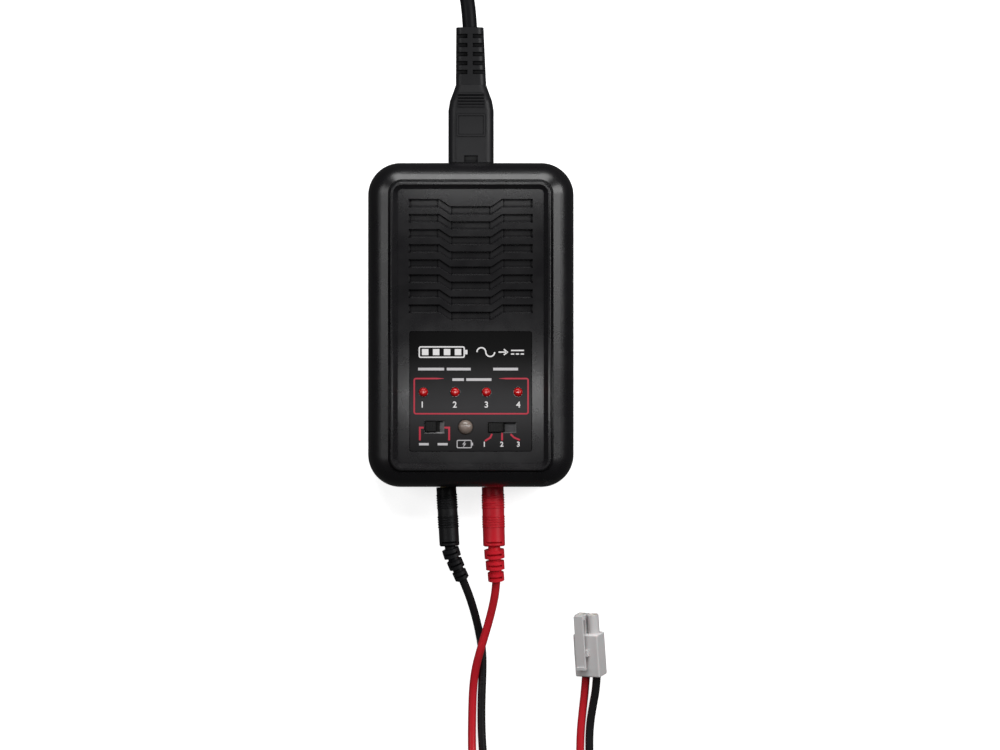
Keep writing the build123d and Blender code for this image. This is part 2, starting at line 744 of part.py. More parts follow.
tail_route = (
    (-13.1, 163.5, 7.5), (-13.6, 170.0, 7.4), (-14.4, 176.3, 7.08), (-14.9, 181.2, 6.88), (-15.0, 185.2, 6.85),
)
mains_tail = cord(tail_route, mains_d, "mains_tail")
keep(mains_tail, "mains_tail")

with BuildPart() as mains_plug:
    for y, width, height, corner in ((plug_back_y, 7.6, 7.0, 2.8), (196, 9.0, 7.6, 3.0),
                                     (202.5, 14.5, 10.0, 4.0), (210, 27.0, 13.0, 5.0)):
        with BuildSketch(cross_plane(plug_x, y, plug_z)):
            RectangleRounded(width, height, corner)
    loft(ruled=True)
    for y, width, height, corner in ((210, 27.0, 13.0, 5.0), (plug_face_y, 35.3, 13.7, 5.0)):
        with BuildSketch(cross_plane(plug_x, y, plug_z)):
            RectangleRounded(width, height, corner)
    loft(ruled=True)
    for y in (188, 191, 194):
        for side in (-1, 1):
            with Locations((plug_x + side * 4.2, y, plug_z)):
                Box(3.2, 1.4, 10, mode=Mode.SUBTRACT)
    with BuildSketch(cross_plane(plug_x, plug_face_y - 6, plug_z)):
        with Locations((-plug_pin_x, 0), (plug_pin_x, 0)):
            Circle(plug_root_d / 2)
    extrude(amount=10, mode=Mode.SUBTRACT)
keep(mains_plug, "mains_plug")

with BuildPart() as plug_pins:
    with BuildSketch(cross_plane(plug_x, plug_face_y - 6, plug_z)):
        with Locations((-plug_pin_x, 0), (plug_pin_x, 0)):
            Circle(plug_root_d / 2)
    extrude(amount=6)
    with BuildSketch(cross_plane(plug_x, plug_face_y, plug_z)):
        with Locations((-plug_pin_x, 0), (plug_pin_x, 0)):
            Circle(plug_pin_d / 2)
    extrude(amount=plug_pin_length)
    fillet(plug_pins.edges().group_by(Axis.Y)[-1], radius=1.0)
keep(plug_pins, "plug_pins")

# ---- charging lead: banana plugs ----
mouth_y = -case_length / 2 - 0.3
rib_pitch = 0.85
rib_r = 0.27
slot_gap = 0.7


def banana_grip(x, body_end, body_d, boot, neck_d, rings):
    """Grip of a banana plug: a ribbed barrel, then slotted rings on a neck that bends towards the wire."""
    mouth = Vector(x, mouth_y, port_z)
    end = Vector(*body_end)
    barrel = Plane(origin=mouth, z_dir=end - mouth)
    length = (end - mouth).length
    with BuildPart(mode=Mode.PRIVATE) as grip:
        with BuildSketch(barrel):
            Circle(body_d / 2)
        extrude(amount=length)
        fillet(grip.edges().sort_by(Axis.Y)[0], radius=0.6)
        for first, count in ((2.8, 6), (10.2, 5)):
            for rib in range(count):
                with Locations(barrel.offset(first + rib_pitch * rib).location):
                    Torus(body_d / 2 - 0.05, rib_r)
        with BuildLine():
            neck = FilletPolyline(*boot, radius=6)
        with BuildSketch(Plane(origin=boot[0], z_dir=Vector(*boot[1]) - Vector(*boot[0]))):
            Circle(neck_d / 2)
        sweep(path=neck)
        for share, ring_d, ring_length in rings:
            along = neck % share
            across = Plane(origin=neck @ share, x_dir=along.cross(Vector(0, 0, 1)), z_dir=along)
            with BuildSketch(across):
                Circle(ring_d / 2)
            extrude(amount=ring_length / 2, both=True)
            # slot across the top and the bottom of the ring
            with BuildSketch(across):
                with Locations((0, ring_d / 2), (0, -ring_d / 2)):
                    Rectangle(ring_d * 0.72, ring_d * 0.5)
            extrude(amount=slot_gap / 2, both=True, mode=Mode.SUBTRACT)
        # first slots, just before the end of the barrel
        collar = Plane(origin=barrel.from_local_coords(Vector(0, 0, length - 1.25)),
                       x_dir=barrel.z_dir.cross(Vector(0, 0, 1)), z_dir=barrel.z_dir)
        with BuildSketch(collar):
            with Locations((0, body_d / 2), (0, -body_d / 2)):
                Rectangle(body_d * 0.72, body_d * 0.42)
        extrude(amount=slot_gap / 2, both=True, mode=Mode.SUBTRACT)
        with Locations((x, mouth_y, port_z)):
            Cylinder(banana_pin_d / 2, 10, rotation=(90, 0, 0), mode=Mode.SUBTRACT)
    return grip


black_boot = ((-7.5, -73.6, 14.6), (-6.8, -77.6, 14.3), (-5.3, -81.6, 13.5), (-2.9, -87.0, 12.1))
red_boot = ((7.85, -73.4, 14.6), (7.95, -77.6, 14.5), (8.25, -82.4, 13.8), (8.65, -87.4, 12.6))
banana_grip_black = banana_grip(banana_x["black"], (-7.35, -75.5, port_z), 6.8, black_boot, 3.8,
                                ((0.30, 5.9, 2.9), (0.585, 5.4, 2.8), (0.875, 4.9, 2.8)))
keep(banana_grip_black, "banana_grip_black")
banana_grip_red = banana_grip(banana_x["red"], (7.9, -75.6, port_z), 7.5, red_boot, 4.2,
                              ((0.335, 6.9, 2.9), (0.61, 6.4, 2.9), (0.895, 5.6, 2.8)))
keep(banana_grip_red, "banana_grip_red")

with BuildPart() as banana_pins:
    for x in banana_x.values():
        with BuildSketch(cross_plane(x, mouth_y - 5, port_z)):
            Circle(banana_pin_d / 2)
        extrude(amount=20.5)
    fillet(banana_pins.edges().group_by(Axis.Y)[-1], radius=1.0)
keep(banana_pins, "banana_pins")

# ---- charging lead: battery connector, rolled about its length ----
connector_roll = 27.5
connector_pitch = 11.0
connector_turn = 4.0
connector_frame = Plane(Location((40.85, -112.85, 6.35), (0, 0, connector_turn))
                        * Location((0, 0, 0), (connector_pitch, 0, 0))
                        * Location((0, 0, 0), (0, -connector_roll, 0)))
housing_width = 9.2
housing_length = 15.0
housing_height = 6.2
tower_x = 2.1
tower_size = 3.9
tower_length = 6.6
latch_x = -1.35
latch_width = 3.2
latch_back_y = -4.6
latch_tip_y = 14.3
latch_root_y = 1.2
latch_pivot_z = housing_height / 2 + 0.5

with BuildPart(connector_frame) as battery_connector:
    Box(housing_width, housing_length, housing_height)
    fillet(battery_connector.edges(), radius=0.5)
    front = housing_length / 2
    with Locations((-tower_x, front + tower_length / 2 - 0.5, 0)):
        Box(tower_size, tower_length + 1, tower_size)
    with Locations((tower_x, front + tower_length / 2 - 0.5, 0)):
        Cylinder(tower_size / 2, tower_length + 1, rotation=(90, 0, 0))
    with Locations((-tower_x, 0, 0), (tower_x, 0, 0)):
        Cylinder(1.45, 3 * housing_length, rotation=(90, 0, 0), mode=Mode.SUBTRACT)
    # lugs that carry the latch
    with Locations((latch_x, latch_root_y, housing_height / 2 + 0.4)):
        with GridLocations(latch_width + 1.0, 1, 2, 1):
            Box(0.8, 2.2, 1.6)
keep(battery_connector, "battery_connector")

with BuildPart(connector_frame) as connector_latch:
    with Locations((latch_x, (latch_back_y + latch_tip_y) / 2, housing_height / 2 + 1.35)):
        Box(latch_width, latch_tip_y - latch_back_y, 1.0)
    with Locations((latch_x, latch_root_y, housing_height / 2 + 0.95)):
        Box(latch_width, 2.0, 1.2)
    with Locations((latch_x, latch_tip_y - 0.7, housing_height / 2 + 0.45)):
        Box(latch_width, 1.4, 1.6)
    # raised lip under the thumb
    with Locations((latch_x, latch_back_y + 0.5, housing_height / 2 + 2.0)):
        Box(latch_width, 1.0, 0.5)
keep(connector_latch, "connector_latch")

with BuildPart(connector_frame) as connector_pins:
    with Locations((-tower_x, 4.4, 0), (tower_x, 4.4, 0)):
        Cylinder(1.4, 17.5, rotation=(90, 0, 0))
        Cylinder(0.95, 18, rotation=(90, 0, 0), mode=Mode.SUBTRACT)
keep(connector_pins, "connector_pins")

pivot = connector_frame.from_local_coords(Vector(latch_x, latch_root_y, latch_pivot_z))
print("latch pivot", pivot, "axis", connector_frame.x_dir)
wire_entry = [connector_frame.from_local_coords(Vector(side * tower_x, -front, 0)) for side in (-1, 1)]
print("wire entries", wire_entry)

# ---- charging lead: wires ----
black_route = (
    (-2.9, -87.0, 12.1), (-1.5, -90.4, 10.6), (0.1, -95.0, 7.6), (1.6, -100.4, 4.4), (2.9, -106.2, 2.0),
    (3.9, -112.6, 1.45), (3.9, -120.0, 1.4), (3.5, -129.0, 1.42), (3.5, -139.5, 1.4), (4.3, -151.0, 1.42),
    (5.9, -163.0, 1.4), (9.8, -174.5, 1.42), (17.2, -183.5, 1.4), (27.0, -185.5, 1.42), (35.6, -179.8, 1.4),
    (40.3, -170.3, 1.42), (41.4, -158.6, 1.4), (40.6, -146.5, 1.42), (40.8, -137.8, 1.75), (41.9, -130.6, 3.2),
    (42.95, -125.0, 5.0), (43.25, -119.0, 6.15),
)
red_route = (
    (8.65, -87.4, 12.6), (8.35, -91.3, 11.6), (7.5, -95.9, 9.9), (6.2, -101.2, 8.1), (4.7, -106.4, 6.9),
    (3.1, -111.7, 5.9), (1.5, -117.6, 3.7), (0.6, -124.6, 1.9), (0.3, -133.0, 1.4), (0.2, -142.0, 1.42),
    (0.35, -150.0, 2.3), (1.7, -157.2, 5.0), (5.6, -163.9, 6.3), (11.4, -169.6, 5.3), (18.6, -172.6, 2.3),
    (26.2, -171.4, 1.4), (32.4, -166.3, 1.42), (36.2, -158.4, 1.4), (37.5, -149.2, 1.42), (37.6, -140.4, 1.45),
    (38.4, -132.2, 1.8), (39.2, -125.2, 2.9), (39.6, -119.0, 4.1),
)
charge_wire_black = cord(black_route, wire_d, "charge_wire_black")
keep(charge_wire_black, "charge_wire_black")
charge_wire_red = cord(red_route, wire_d, "charge_wire_red")
keep(charge_wire_red, "charge_wire_red")
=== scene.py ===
import json
import math

import bmesh
import bpy
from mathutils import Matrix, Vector


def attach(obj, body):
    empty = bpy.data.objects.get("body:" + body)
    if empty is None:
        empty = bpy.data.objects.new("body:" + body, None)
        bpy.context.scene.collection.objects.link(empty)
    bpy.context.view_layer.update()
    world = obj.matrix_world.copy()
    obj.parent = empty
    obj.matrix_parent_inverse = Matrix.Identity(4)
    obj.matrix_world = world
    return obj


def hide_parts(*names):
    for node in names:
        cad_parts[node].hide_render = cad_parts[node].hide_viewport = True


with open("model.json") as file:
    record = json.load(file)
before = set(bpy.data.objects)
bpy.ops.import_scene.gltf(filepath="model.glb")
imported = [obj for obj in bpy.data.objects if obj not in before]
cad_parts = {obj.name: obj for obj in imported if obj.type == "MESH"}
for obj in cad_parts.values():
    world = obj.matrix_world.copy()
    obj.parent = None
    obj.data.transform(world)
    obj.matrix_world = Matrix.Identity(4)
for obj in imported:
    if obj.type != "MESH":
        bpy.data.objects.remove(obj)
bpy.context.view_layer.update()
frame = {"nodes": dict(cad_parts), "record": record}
nodes = frame["nodes"]
mm = 0.001

# ---- camera: straight down with a long lens, +Y up in the picture ----
view_width = 0.339
view_centre = (0.0099, -0.0170)
view_height = 0.031
camera_distance = 1.8
camera_data = bpy.data.cameras.new("camera")
camera_data.sensor_width = 36.0
camera_data.lens = camera_data.sensor_width * camera_distance / view_width
camera_data.clip_end = 20.0
camera = bpy.data.objects.new("camera", camera_data)
camera.location = (view_centre[0], view_centre[1], view_height + camera_distance)
bpy.context.collection.objects.link(camera)
bpy.context.scene.camera = camera
bpy.context.scene.view_settings.view_transform = "Standard"


def link(name, data, body, material, place=(0, 0, 0)):
    """An object that rides on a CAD body and material."""
    piece = bpy.data.objects.new(name, data)
    piece.location = place
    bpy.context.collection.objects.link(piece)
    data.materials.append(material)
    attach(piece, body)
    return piece


# ---- materials ----
patch_scale = 60.0
smear_scale = 140.0
wear_from = 0.52
wear_full = 0.62
wear_most = 0.5
# reach, strength and rays of the painted shade in grooves and inner corners
corner_reach = 0.7 * mm
corner_dull = 0.55
corner_clear = 0.95
corner_rays = 6
grain_strength = 0.35
coat_roughness = 0.08
skin_depth = (2.0 * mm, 1.0 * mm, 1.0 * mm)
# tint of the painted reflection band on the label
reflection_green = 0.97
reflection_blue = 1.02


def node_tree(name):
    """A new material with its nodes and links."""
    material = bpy.data.materials.new(name)
    material.use_nodes = True
    return material, material.node_tree.nodes, material.node_tree.links


def noise(tree_nodes, links, coordinates, scale, detail=4.0):
    """Noise in the object's own coordinates."""
    texture = tree_nodes.new("ShaderNodeTexNoise")
    texture.inputs["Scale"].default_value = scale
    texture.inputs["Detail"].default_value = detail
    links.new(coordinates.outputs["Object"], texture.inputs["Vector"])
    return texture


def map_range(tree_nodes, links, value, low, high, to_low, to_high):
    """A clamped line from one range of a value to another."""
    mapped = tree_nodes.new("ShaderNodeMapRange")
    mapped.inputs["From Min"].default_value = low
    mapped.inputs["From Max"].default_value = high
    mapped.inputs["To Min"].default_value = to_low
    mapped.inputs["To Max"].default_value = to_high
    links.new(value, mapped.inputs["Value"])
    return mapped.outputs["Result"]


def mottled(tree_nodes, links, coordinates, colour, lift):
    """The colour, darker and lighter in soft patches and lighter on worn edges."""
    patches = noise(tree_nodes, links, coordinates, patch_scale)
    edges = tree_nodes.new("ShaderNodeNewGeometry")
    wear = map_range(tree_nodes, links, edges.outputs["Pointiness"], wear_from, wear_full, 0.0, wear_most)
    amount = tree_nodes.new("ShaderNodeMath")
    amount.operation = "MAXIMUM"
    links.new(patches.outputs["Fac"], amount.inputs[0])
    links.new(wear, amount.inputs[1])
    tint = tree_nodes.new("ShaderNodeMix")
    tint.data_type = "RGBA"
    tint.inputs["A"].default_value = (*[channel / lift for channel in colour], 1)
    tint.inputs["B"].default_value = (*[min(1.0, channel * lift) for channel in colour], 1)
    links.new(amount.outputs["Value"], tint.inputs["Factor"])
    return tint.outputs["Result"]


def painted_reflection_band(tree_nodes, links, coordinates, tint, reflection_band):
    """Adds a painted reflection: a lighter band of grey, given at places along Y in millimetres from the
    front backwards.
    """
    front, back = reflection_band[0][0], reflection_band[-1][0]
    axes = tree_nodes.new("ShaderNodeSeparateXYZ")
    links.new(coordinates.outputs["Object"], axes.inputs["Vector"])
    along = map_range(tree_nodes, links, axes.outputs["Y"], front * mm, back * mm, 0.0, 1.0)
    ramp = tree_nodes.new("ShaderNodeValToRGB")
    stops = ramp.color_ramp.elements
    for index, (place, grey) in enumerate(reflection_band):
        spot = (place - front) / (back - front)
        stop = stops[index] if index < 2 else stops.new(spot)
        stop.position = spot
        stop.color = (grey, grey * reflection_green, grey * reflection_blue, 1)
    links.new(along, ramp.inputs["Fac"])
    both = tree_nodes.new("ShaderNodeMix")
    both.data_type = "RGBA"
    both.blend_type = "ADD"
    both.inputs["Factor"].default_value = 1.0
    links.new(tint, both.inputs["A"])
    links.new(ramp.outputs["Color"], both.inputs["B"])
    return both.outputs["Result"]


def painted_corner_shade(tree_nodes, links, specular):
    """Painted shade: the shine goes out in narrow grooves and inner corners."""
    hollow = tree_nodes.new("ShaderNodeAmbientOcclusion")
    hollow.inputs["Distance"].default_value = corner_reach
    hollow.samples = corner_rays
    return map_range(tree_nodes, links, hollow.outputs["AO"], corner_dull, corner_clear, 0.0, specular)


def smeared(tree_nodes, links, coordinates, smooth, rough):
    """Roughness that varies in soft smears."""
    smears = noise(tree_nodes, links, coordinates, smear_scale)
    return map_range(tree_nodes, links, smears.outputs["Fac"], 0.0, 1.0, smooth, rough)


def grained(tree_nodes, links, coordinates, grain, depth):
    """Normals of a fine grain."""
    pits = noise(tree_nodes, links, coordinates, grain, 2.0)
    bump = tree_nodes.new("ShaderNodeBump")
    bump.inputs["Strength"].default_value = grain_strength
    bump.inputs["Distance"].default_value = depth
    links.new(pits.outputs["Fac"], bump.inputs["Height"])
    return bump.outputs["Normal"]


def moulded(name, colour, roughness, spread=0.08, grain=2500.0, depth=0.00002, lift=1.25, coat=0.0,
            metallic=0.0, subsurface=0.0, specular=0.5, reflection_band=(), corners=False):
    """Moulded plastic, rubber or plated metal: mottled colour, uneven gloss, a fine grain and worn edges.

    reflection_band gives a painted reflection, a lighter band of grey along Y; corners takes the shine out
    of narrow grooves and inner corners as painted shade.
    """
    material, tree_nodes, links = node_tree(name)
    shader = tree_nodes["Principled BSDF"]
    shader.inputs["Metallic"].default_value = metallic
    shader.inputs["Coat Weight"].default_value = coat
    shader.inputs["Coat Roughness"].default_value = coat_roughness
    shader.inputs["Subsurface Weight"].default_value = subsurface
    shader.inputs["Subsurface Radius"].default_value = skin_depth
    shader.inputs["Specular IOR Level"].default_value = specular
    coordinates = tree_nodes.new("ShaderNodeTexCoord")
    tint = mottled(tree_nodes, links, coordinates, colour, lift)
    if reflection_band:
        tint = painted_reflection_band(tree_nodes, links, coordinates, tint, reflection_band)
    links.new(tint, shader.inputs["Base Color"])
    # painted shade: shine taken out of grooves and inner corners
    if corners:
        links.new(painted_corner_shade(tree_nodes, links, specular), shader.inputs["Specular IOR Level"])
    smooth = max(0.02, roughness - spread)
    rough = min(1.0, roughness + spread)
    links.new(smeared(tree_nodes, links, coordinates, smooth, rough), shader.inputs["Roughness"])
    links.new(grained(tree_nodes, links, coordinates, grain, depth), shader.inputs["Normal"])
    return material


# case_black and lead_black: painted shade, the shine taken out in grooves and inner corners
case_black = moulded("case_black", (0.0040, 0.0037, 0.0045), 0.28, grain=3200.0, lift=1.5, corners=True)
# label_black carries a painted reflection: a lighter band of grey across the label, brightest at Y -28 mm
label_black = moulded("label_black", (0.001, 0.001, 0.001), 0.40, grain=5000.0, depth=0.000008, lift=1.3,
                      specular=0.08,
                      reflection_band=((-43.0, 0.008), (-36.0, 0.015), (-32.0, 0.022), (-28.0, 0.026), (-24.0, 0.021),
                            (-19.0, 0.012), (-15.0, 0.008), (-10.0, 0.0005)))
lead_black = moulded("lead_black", (0.008, 0.008, 0.009), 0.42, grain=2600.0, lift=1.5, specular=0.26,
                     corners=True)
cord_black = moulded("cord_black", (0.005, 0.005, 0.006), 0.40, grain=2600.0, lift=1.5, specular=0.10)
wire_black = moulded("wire_black", (0.013, 0.012, 0.013), 0.26, grain=2600.0, lift=1.4, specular=0.35)
lead_red = moulded("lead_red", (0.68, 0.015, 0.029), 0.36, grain=2600.0, lift=1.15, subsurface=0.05,
                   specular=0.35)
wire_red = moulded("wire_red", (0.60, 0.015, 0.026), 0.28, grain=2600.0, lift=1.15, subsurface=0.05,
                   specular=0.4)
rubber_black = moulded("rubber_black", (0.015, 0.015, 0.015), 0.75, grain=1800.0, depth=0.00006)
knob_black = moulded("knob_black", (0.003, 0.003, 0.003), 0.42, grain=4000.0, lift=1.5, specular=0.16)
socket_black = moulded("socket_black", (0.010, 0.010, 0.010), 0.34, lift=1.4)
socket_red = moulded("socket_red", (0.55, 0.012, 0.02), 0.30, lift=1.2)
socket_white = moulded("socket_white", (0.74, 0.72, 0.66), 0.42, lift=1.06, subsurface=0.1)
nylon_white = moulded("nylon_white", (0.70, 0.68, 0.68), 0.38, lift=1.05, subsurface=0.2)
light_red = moulded("light_red", (0.34, 0.004, 0.005), 0.12, spread=0.03, depth=0.000004, lift=1.3, coat=0.1,
                    subsurface=0.1, specular=0.35)
light_milky = moulded("light_milky", (0.17, 0.135, 0.115), 0.22, spread=0.05, depth=0.000006, lift=1.15,
                      coat=0.2, subsurface=0.2)
steel = moulded("steel", (0.55, 0.55, 0.56), 0.32, lift=1.1, metallic=1.0)
# one stamped steel for both switch frames in two brightnesses: a shaded copy as painted shade and a lit copy
# as a painted highlight
frame_shaded_copy = moulded("frame_shaded_copy", (0.11, 0.11, 0.115), 0.42, lift=1.2, metallic=0.2, specular=0.4)
frame_lit_copy = moulded("frame_lit_copy", (0.22, 0.215, 0.22), 0.36, lift=1.2, metallic=0.2, specular=0.5)
nickel = moulded("nickel", (0.72, 0.71, 0.69), 0.18, spread=0.05, lift=1.08, metallic=1.0)
gold = moulded("gold", (0.80, 0.62, 0.30), 0.20, spread=0.05, lift=1.08, metallic=1.0)
copper = moulded("copper", (0.60, 0.24, 0.10), 0.30, lift=1.2, metallic=0.8)
aluminium = moulded("aluminium", (0.62, 0.63, 0.64), 0.38, lift=1.1, metallic=1.0)
board_green = moulded("board_green", (0.02, 0.13, 0.05), 0.30, lift=1.3, coat=0.3)
ferrite = moulded("ferrite", (0.05, 0.05, 0.055), 0.60, lift=1.3)
tape_yellow = moulded("tape_yellow", (0.62, 0.44, 0.05), 0.35, lift=1.15)
sleeve_black = moulded("sleeve_black", (0.015, 0.017, 0.03), 0.25, lift=1.3)
box_blue = moulded("box_blue", (0.05, 0.12, 0.35), 0.32, lift=1.2)
epoxy_black = moulded("epoxy_black", (0.012, 0.012, 0.012), 0.48, lift=1.4)
sticker_grey = moulded("sticker_grey", (0.42, 0.42, 0.43), 0.50, lift=1.05)

slot_materials = {
    "case_black": case_black, "label_black": label_black, "label_grey": sticker_grey,
    "rubber_black": rubber_black, "screw_steel": steel, "board_green": board_green, "pin_metal": gold,
    "bright_metal": nickel, "light_red": light_red, "light_milky": light_milky, "knob_black": knob_black,
    "socket_white": socket_white, "socket_red": socket_red, "socket_black": socket_black, "ferrite": ferrite,
    "winding_yellow": tape_yellow, "can_black": sleeve_black, "box_blue": box_blue, "copper": copper,
    "heat_sink_metal": aluminium, "chip_black": epoxy_black, "lead_black": lead_black, "lead_red": lead_red,
    "nylon_white": nylon_white,
}
for subpart in frame["record"]["subparts"]:
    node = nodes[subpart["node"]]
    node.data.materials.clear()
    node.data.materials.append(slot_materials[subpart["material_slot"]])
# the current switch frame gets the painted shade, the chemistry switch frame the painted highlight
nodes["current_switch_frame"].data.materials[0] = frame_shaded_copy
nodes["chemistry_switch_frame"].data.materials[0] = frame_lit_copy


# ---- cords ----
mains_d = 0.0050
wire_d = 0.0028
mains_route = [
    (-0.0004, 0.1018, 0.0146), (-0.0008, 0.1085, 0.0143), (-0.0022, 0.1163, 0.0129),
    (-0.0047, 0.1251, 0.0102), (-0.0078, 0.1345, 0.0069), (-0.0106, 0.1442, 0.0041),
    (-0.0124, 0.1538, 0.0031),
]
tail_route = [
    (-0.0136, 0.1700, 0.0081), (-0.0144, 0.1763, 0.00728), (-0.0149, 0.1812, 0.00688),
    (-0.0150, 0.1852, 0.00685),
]
black_route = [
    (-0.0029, -0.0870, 0.0121), (-0.0015, -0.0904, 0.0106), (0.0001, -0.0950, 0.0076),
    (0.0016, -0.1004, 0.0044), (0.0029, -0.1062, 0.0020), (0.0039, -0.1126, 0.00145),
    (0.0039, -0.1200, 0.0014), (0.0035, -0.1290, 0.00142), (0.0035, -0.1395, 0.0014),
    (0.0043, -0.1510, 0.00142), (0.0059, -0.1630, 0.0014), (0.0098, -0.1745, 0.00142),
    (0.0172, -0.1835, 0.0014), (0.0270, -0.1855, 0.00142), (0.0356, -0.1798, 0.0014),
    (0.0403, -0.1703, 0.00142), (0.0414, -0.1586, 0.0014), (0.0406, -0.1465, 0.00142),
    (0.0408, -0.1378, 0.00175), (0.0419, -0.1306, 0.0032), (0.04295, -0.1250, 0.0050),
    (0.04325, -0.1190, 0.00615),
]
red_route = [
    (0.00865, -0.0874, 0.0126), (0.00835, -0.0913, 0.0116), (0.0075, -0.0959, 0.0099),
    (0.0062, -0.1012, 0.0081), (0.0047, -0.1064, 0.0069), (0.0031, -0.1117, 0.0059),
    (0.0015, -0.1176, 0.0037), (0.0006, -0.1246, 0.0019), (0.0003, -0.1330, 0.0014),
    (0.0002, -0.1420, 0.00142), (0.00035, -0.1500, 0.0023), (0.0017, -0.1572, 0.0050),
    (0.0056, -0.1639, 0.0063), (0.0114, -0.1696, 0.0053), (0.0186, -0.1726, 0.0023),
    (0.0262, -0.1714, 0.0014), (0.0324, -0.1663, 0.00142), (0.0362, -0.1584, 0.0014),
    (0.0375, -0.1492, 0.00142), (0.0376, -0.1404, 0.00145), (0.0384, -0.1322, 0.0018),
    (0.0392, -0.1252, 0.0029), (0.0396, -0.1190, 0.0041),
]
coil_centre = Vector((0.022, 0.160))
coil_turns = 6
coil_steps = 24
coil_radius = 0.0352
coil_pitch = 0.0051
coil_low = 0.0031
coil_layer = 0.00505
coil_climb = 0.3


def coil_points():
    """Turns of the put-away cord: three inward on the floor, then three outward on top of them."""
    points = []
    for step in range(coil_turns * coil_steps + 1):
        turn = step / coil_steps
        inward = min(turn, coil_turns - turn)
        radius = coil_radius - coil_pitch * inward
        climb = min(1.0, max(0.0, (turn - coil_turns / 2) / coil_climb + 0.5))
        angle = math.pi - 2 * math.pi * turn
        points.append((coil_centre.x + radius * math.cos(angle), coil_centre.y + radius * math.sin(angle),
                       coil_low + coil_layer * climb))
    return points


def cord_curve(name, points, diameter, body, material):
    """A cord as one smooth open NURBS curve with a round section."""
    data = bpy.data.curves.new(name, "CURVE")
    data.dimensions = "3D"
    data.bevel_depth = diameter / 2
    data.bevel_resolution = 6
    data.resolution_u = 8
    data.use_fill_caps = True
    spline = data.splines.new("NURBS")
    spline.points.add(len(points) - 1)
    for place, point in zip(spline.points, points):
        place.co = (*point, 1)
    spline.order_u = 3
    spline.use_endpoint_u = True
    return link(name, data, body, material)


mains_line = cord_curve("mains_line", mains_route + coil_points() + tail_route, mains_d, "mains_lead",
                        cord_black)
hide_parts("mains_cord", "mains_coil", "mains_tail")
black_line = cord_curve("black_line", black_route, wire_d, "charge_lead", wire_black)
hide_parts("charge_wire_black")
red_line = cord_curve("red_line", red_route, wire_d, "charge_lead", wire_red)
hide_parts("charge_wire_red")

# ---- tie round the coil ----
tie_middle = coil_radius - coil_pitch * coil_turns / 4
tie_angle = math.radians(35)
tie_width = 0.0045
tie_half = 0.0087
tie_gap = 0.0003
tie_height = coil_low + coil_layer + mains_d / 2 + tie_gap
tie_thick = 0.0006
tie_corner = 0.003
tie_steps = 6
tie_lowest = 0.0001


def tie_ring(shape, offset, side):
    """One closed edge of the tie: a rounded box in the plane across the coil's turns."""
    ring = []
    reach = tie_corner + offset
    y = side * tie_width / 2
    for corner_x, corner_z, start in ((1, 1, 0), (-1, 1, 90), (-1, -1, 180), (1, -1, 270)):
        for step in range(tie_steps + 1):
            angle = math.radians(start + step * 90 / tie_steps)
            x = tie_middle + corner_x * (tie_half - tie_corner) + reach * math.cos(angle)
            z = tie_height / 2 + corner_z * (tie_height / 2 - tie_corner) + reach * math.sin(angle)
            ring.append(shape.verts.new((coil_centre.x + x * math.cos(tie_angle) - y * math.sin(tie_angle),
                                         coil_centre.y + x * math.sin(tie_angle) + y * math.cos(tie_angle),
                                         max(z, tie_lowest))))
    return ring


def tie_band():
    """A flat band with a thickness, closed round the turns."""
    shape = bmesh.new()
    inner_low, inner_high = [tie_ring(shape, 0.0, side) for side in (-1, 1)]
    outer_low, outer_high = [tie_ring(shape, tie_thick, side) for side in (-1, 1)]
    for first, second in ((inner_low, inner_high), (inner_high, outer_high), (outer_high, outer_low),
                          (outer_low, inner_low)):
        for index in range(len(first)):
            after = (index + 1) % len(first)
            shape.faces.new((first[index], first[after], second[after], second[index]))
    bmesh.ops.recalc_face_normals(shape, faces=shape.faces)
    data = bpy.data.meshes.new("coil_tie")
    shape.to_mesh(data)
    shape.free()
    return data


coil_tie = link("coil_tie", tie_band(), "mains_lead", rubber_black)

# ---- print on the label: thin inked shapes, in millimetres on the sheet ----
print_low = 35.30
print_high = 35.37
frame_line_width = 0.5
frame_line_tip = 0.1
leader_width = 0.65
fan_width = 0.6
sign_width = 0.45
cell_width = 2.2
caption_width = 0.9
numeral_thickness = 0.03
numeral_swell = 0.05


def ribbon(shape, points, widths):
    """A flat ribbon along a line of points, with a width at each point."""
    line = [Vector(point) for point in points]
    rows = []
    for index, place in enumerate(line):
        into = (place - line[index - 1] if index else line[1] - place).normalized()
        onward = (line[index + 1] - place).normalized() if index + 1 < len(line) else into
        along = (into + onward).normalized()
        side = Vector((-along.y, along.x))
        reach = widths[index] / 2 / max(0.5, into.dot(along))
        row = []
        for turn in (1, -1):
            x = place.x + turn * side.x * reach
            y = place.y + turn * side.y * reach
            row += [shape.verts.new((x * mm, y * mm, height * mm)) for height in (print_low, print_high)]
        rows.append(row)
    for (left_low, left_high, right_low, right_high), (a_low, a_high, b_low, b_high) in zip(rows, rows[1:]):
        shape.faces.new((left_high, right_high, b_high, a_high))
        shape.faces.new((left_low, a_low, b_low, right_low))
        shape.faces.new((left_low, left_high, a_high, a_low))
        shape.faces.new((right_low, b_low, b_high, right_high))
    for left_low, left_high, right_low, right_high in (rows[0], rows[-1]):
        shape.faces.new((left_low, right_low, right_high, left_high))


def arc(centre_x, centre_y, radius, start, end, steps=6):
    """Points along an arc; angles in degrees."""
    return [(centre_x + radius * math.cos(math.radians(start + (end - start) * step / steps)),
             centre_y + radius * math.sin(math.radians(start + (end - start) * step / steps)))
            for step in range(steps + 1)]


def printed(name, ribbons, material):
    """One piece made of ribbons, each a list of points and a width or list of widths."""
    shape = bmesh.new()
    for points, width in ribbons:
        ribbon(shape, points, width if isinstance(width, list) else [width] * len(points))
    bmesh.ops.recalc_face_normals(shape, faces=shape.faces)
    data = bpy.data.meshes.new(name)
    shape.to_mesh(data)
    shape.free()
    return link(name, data, "root", material)


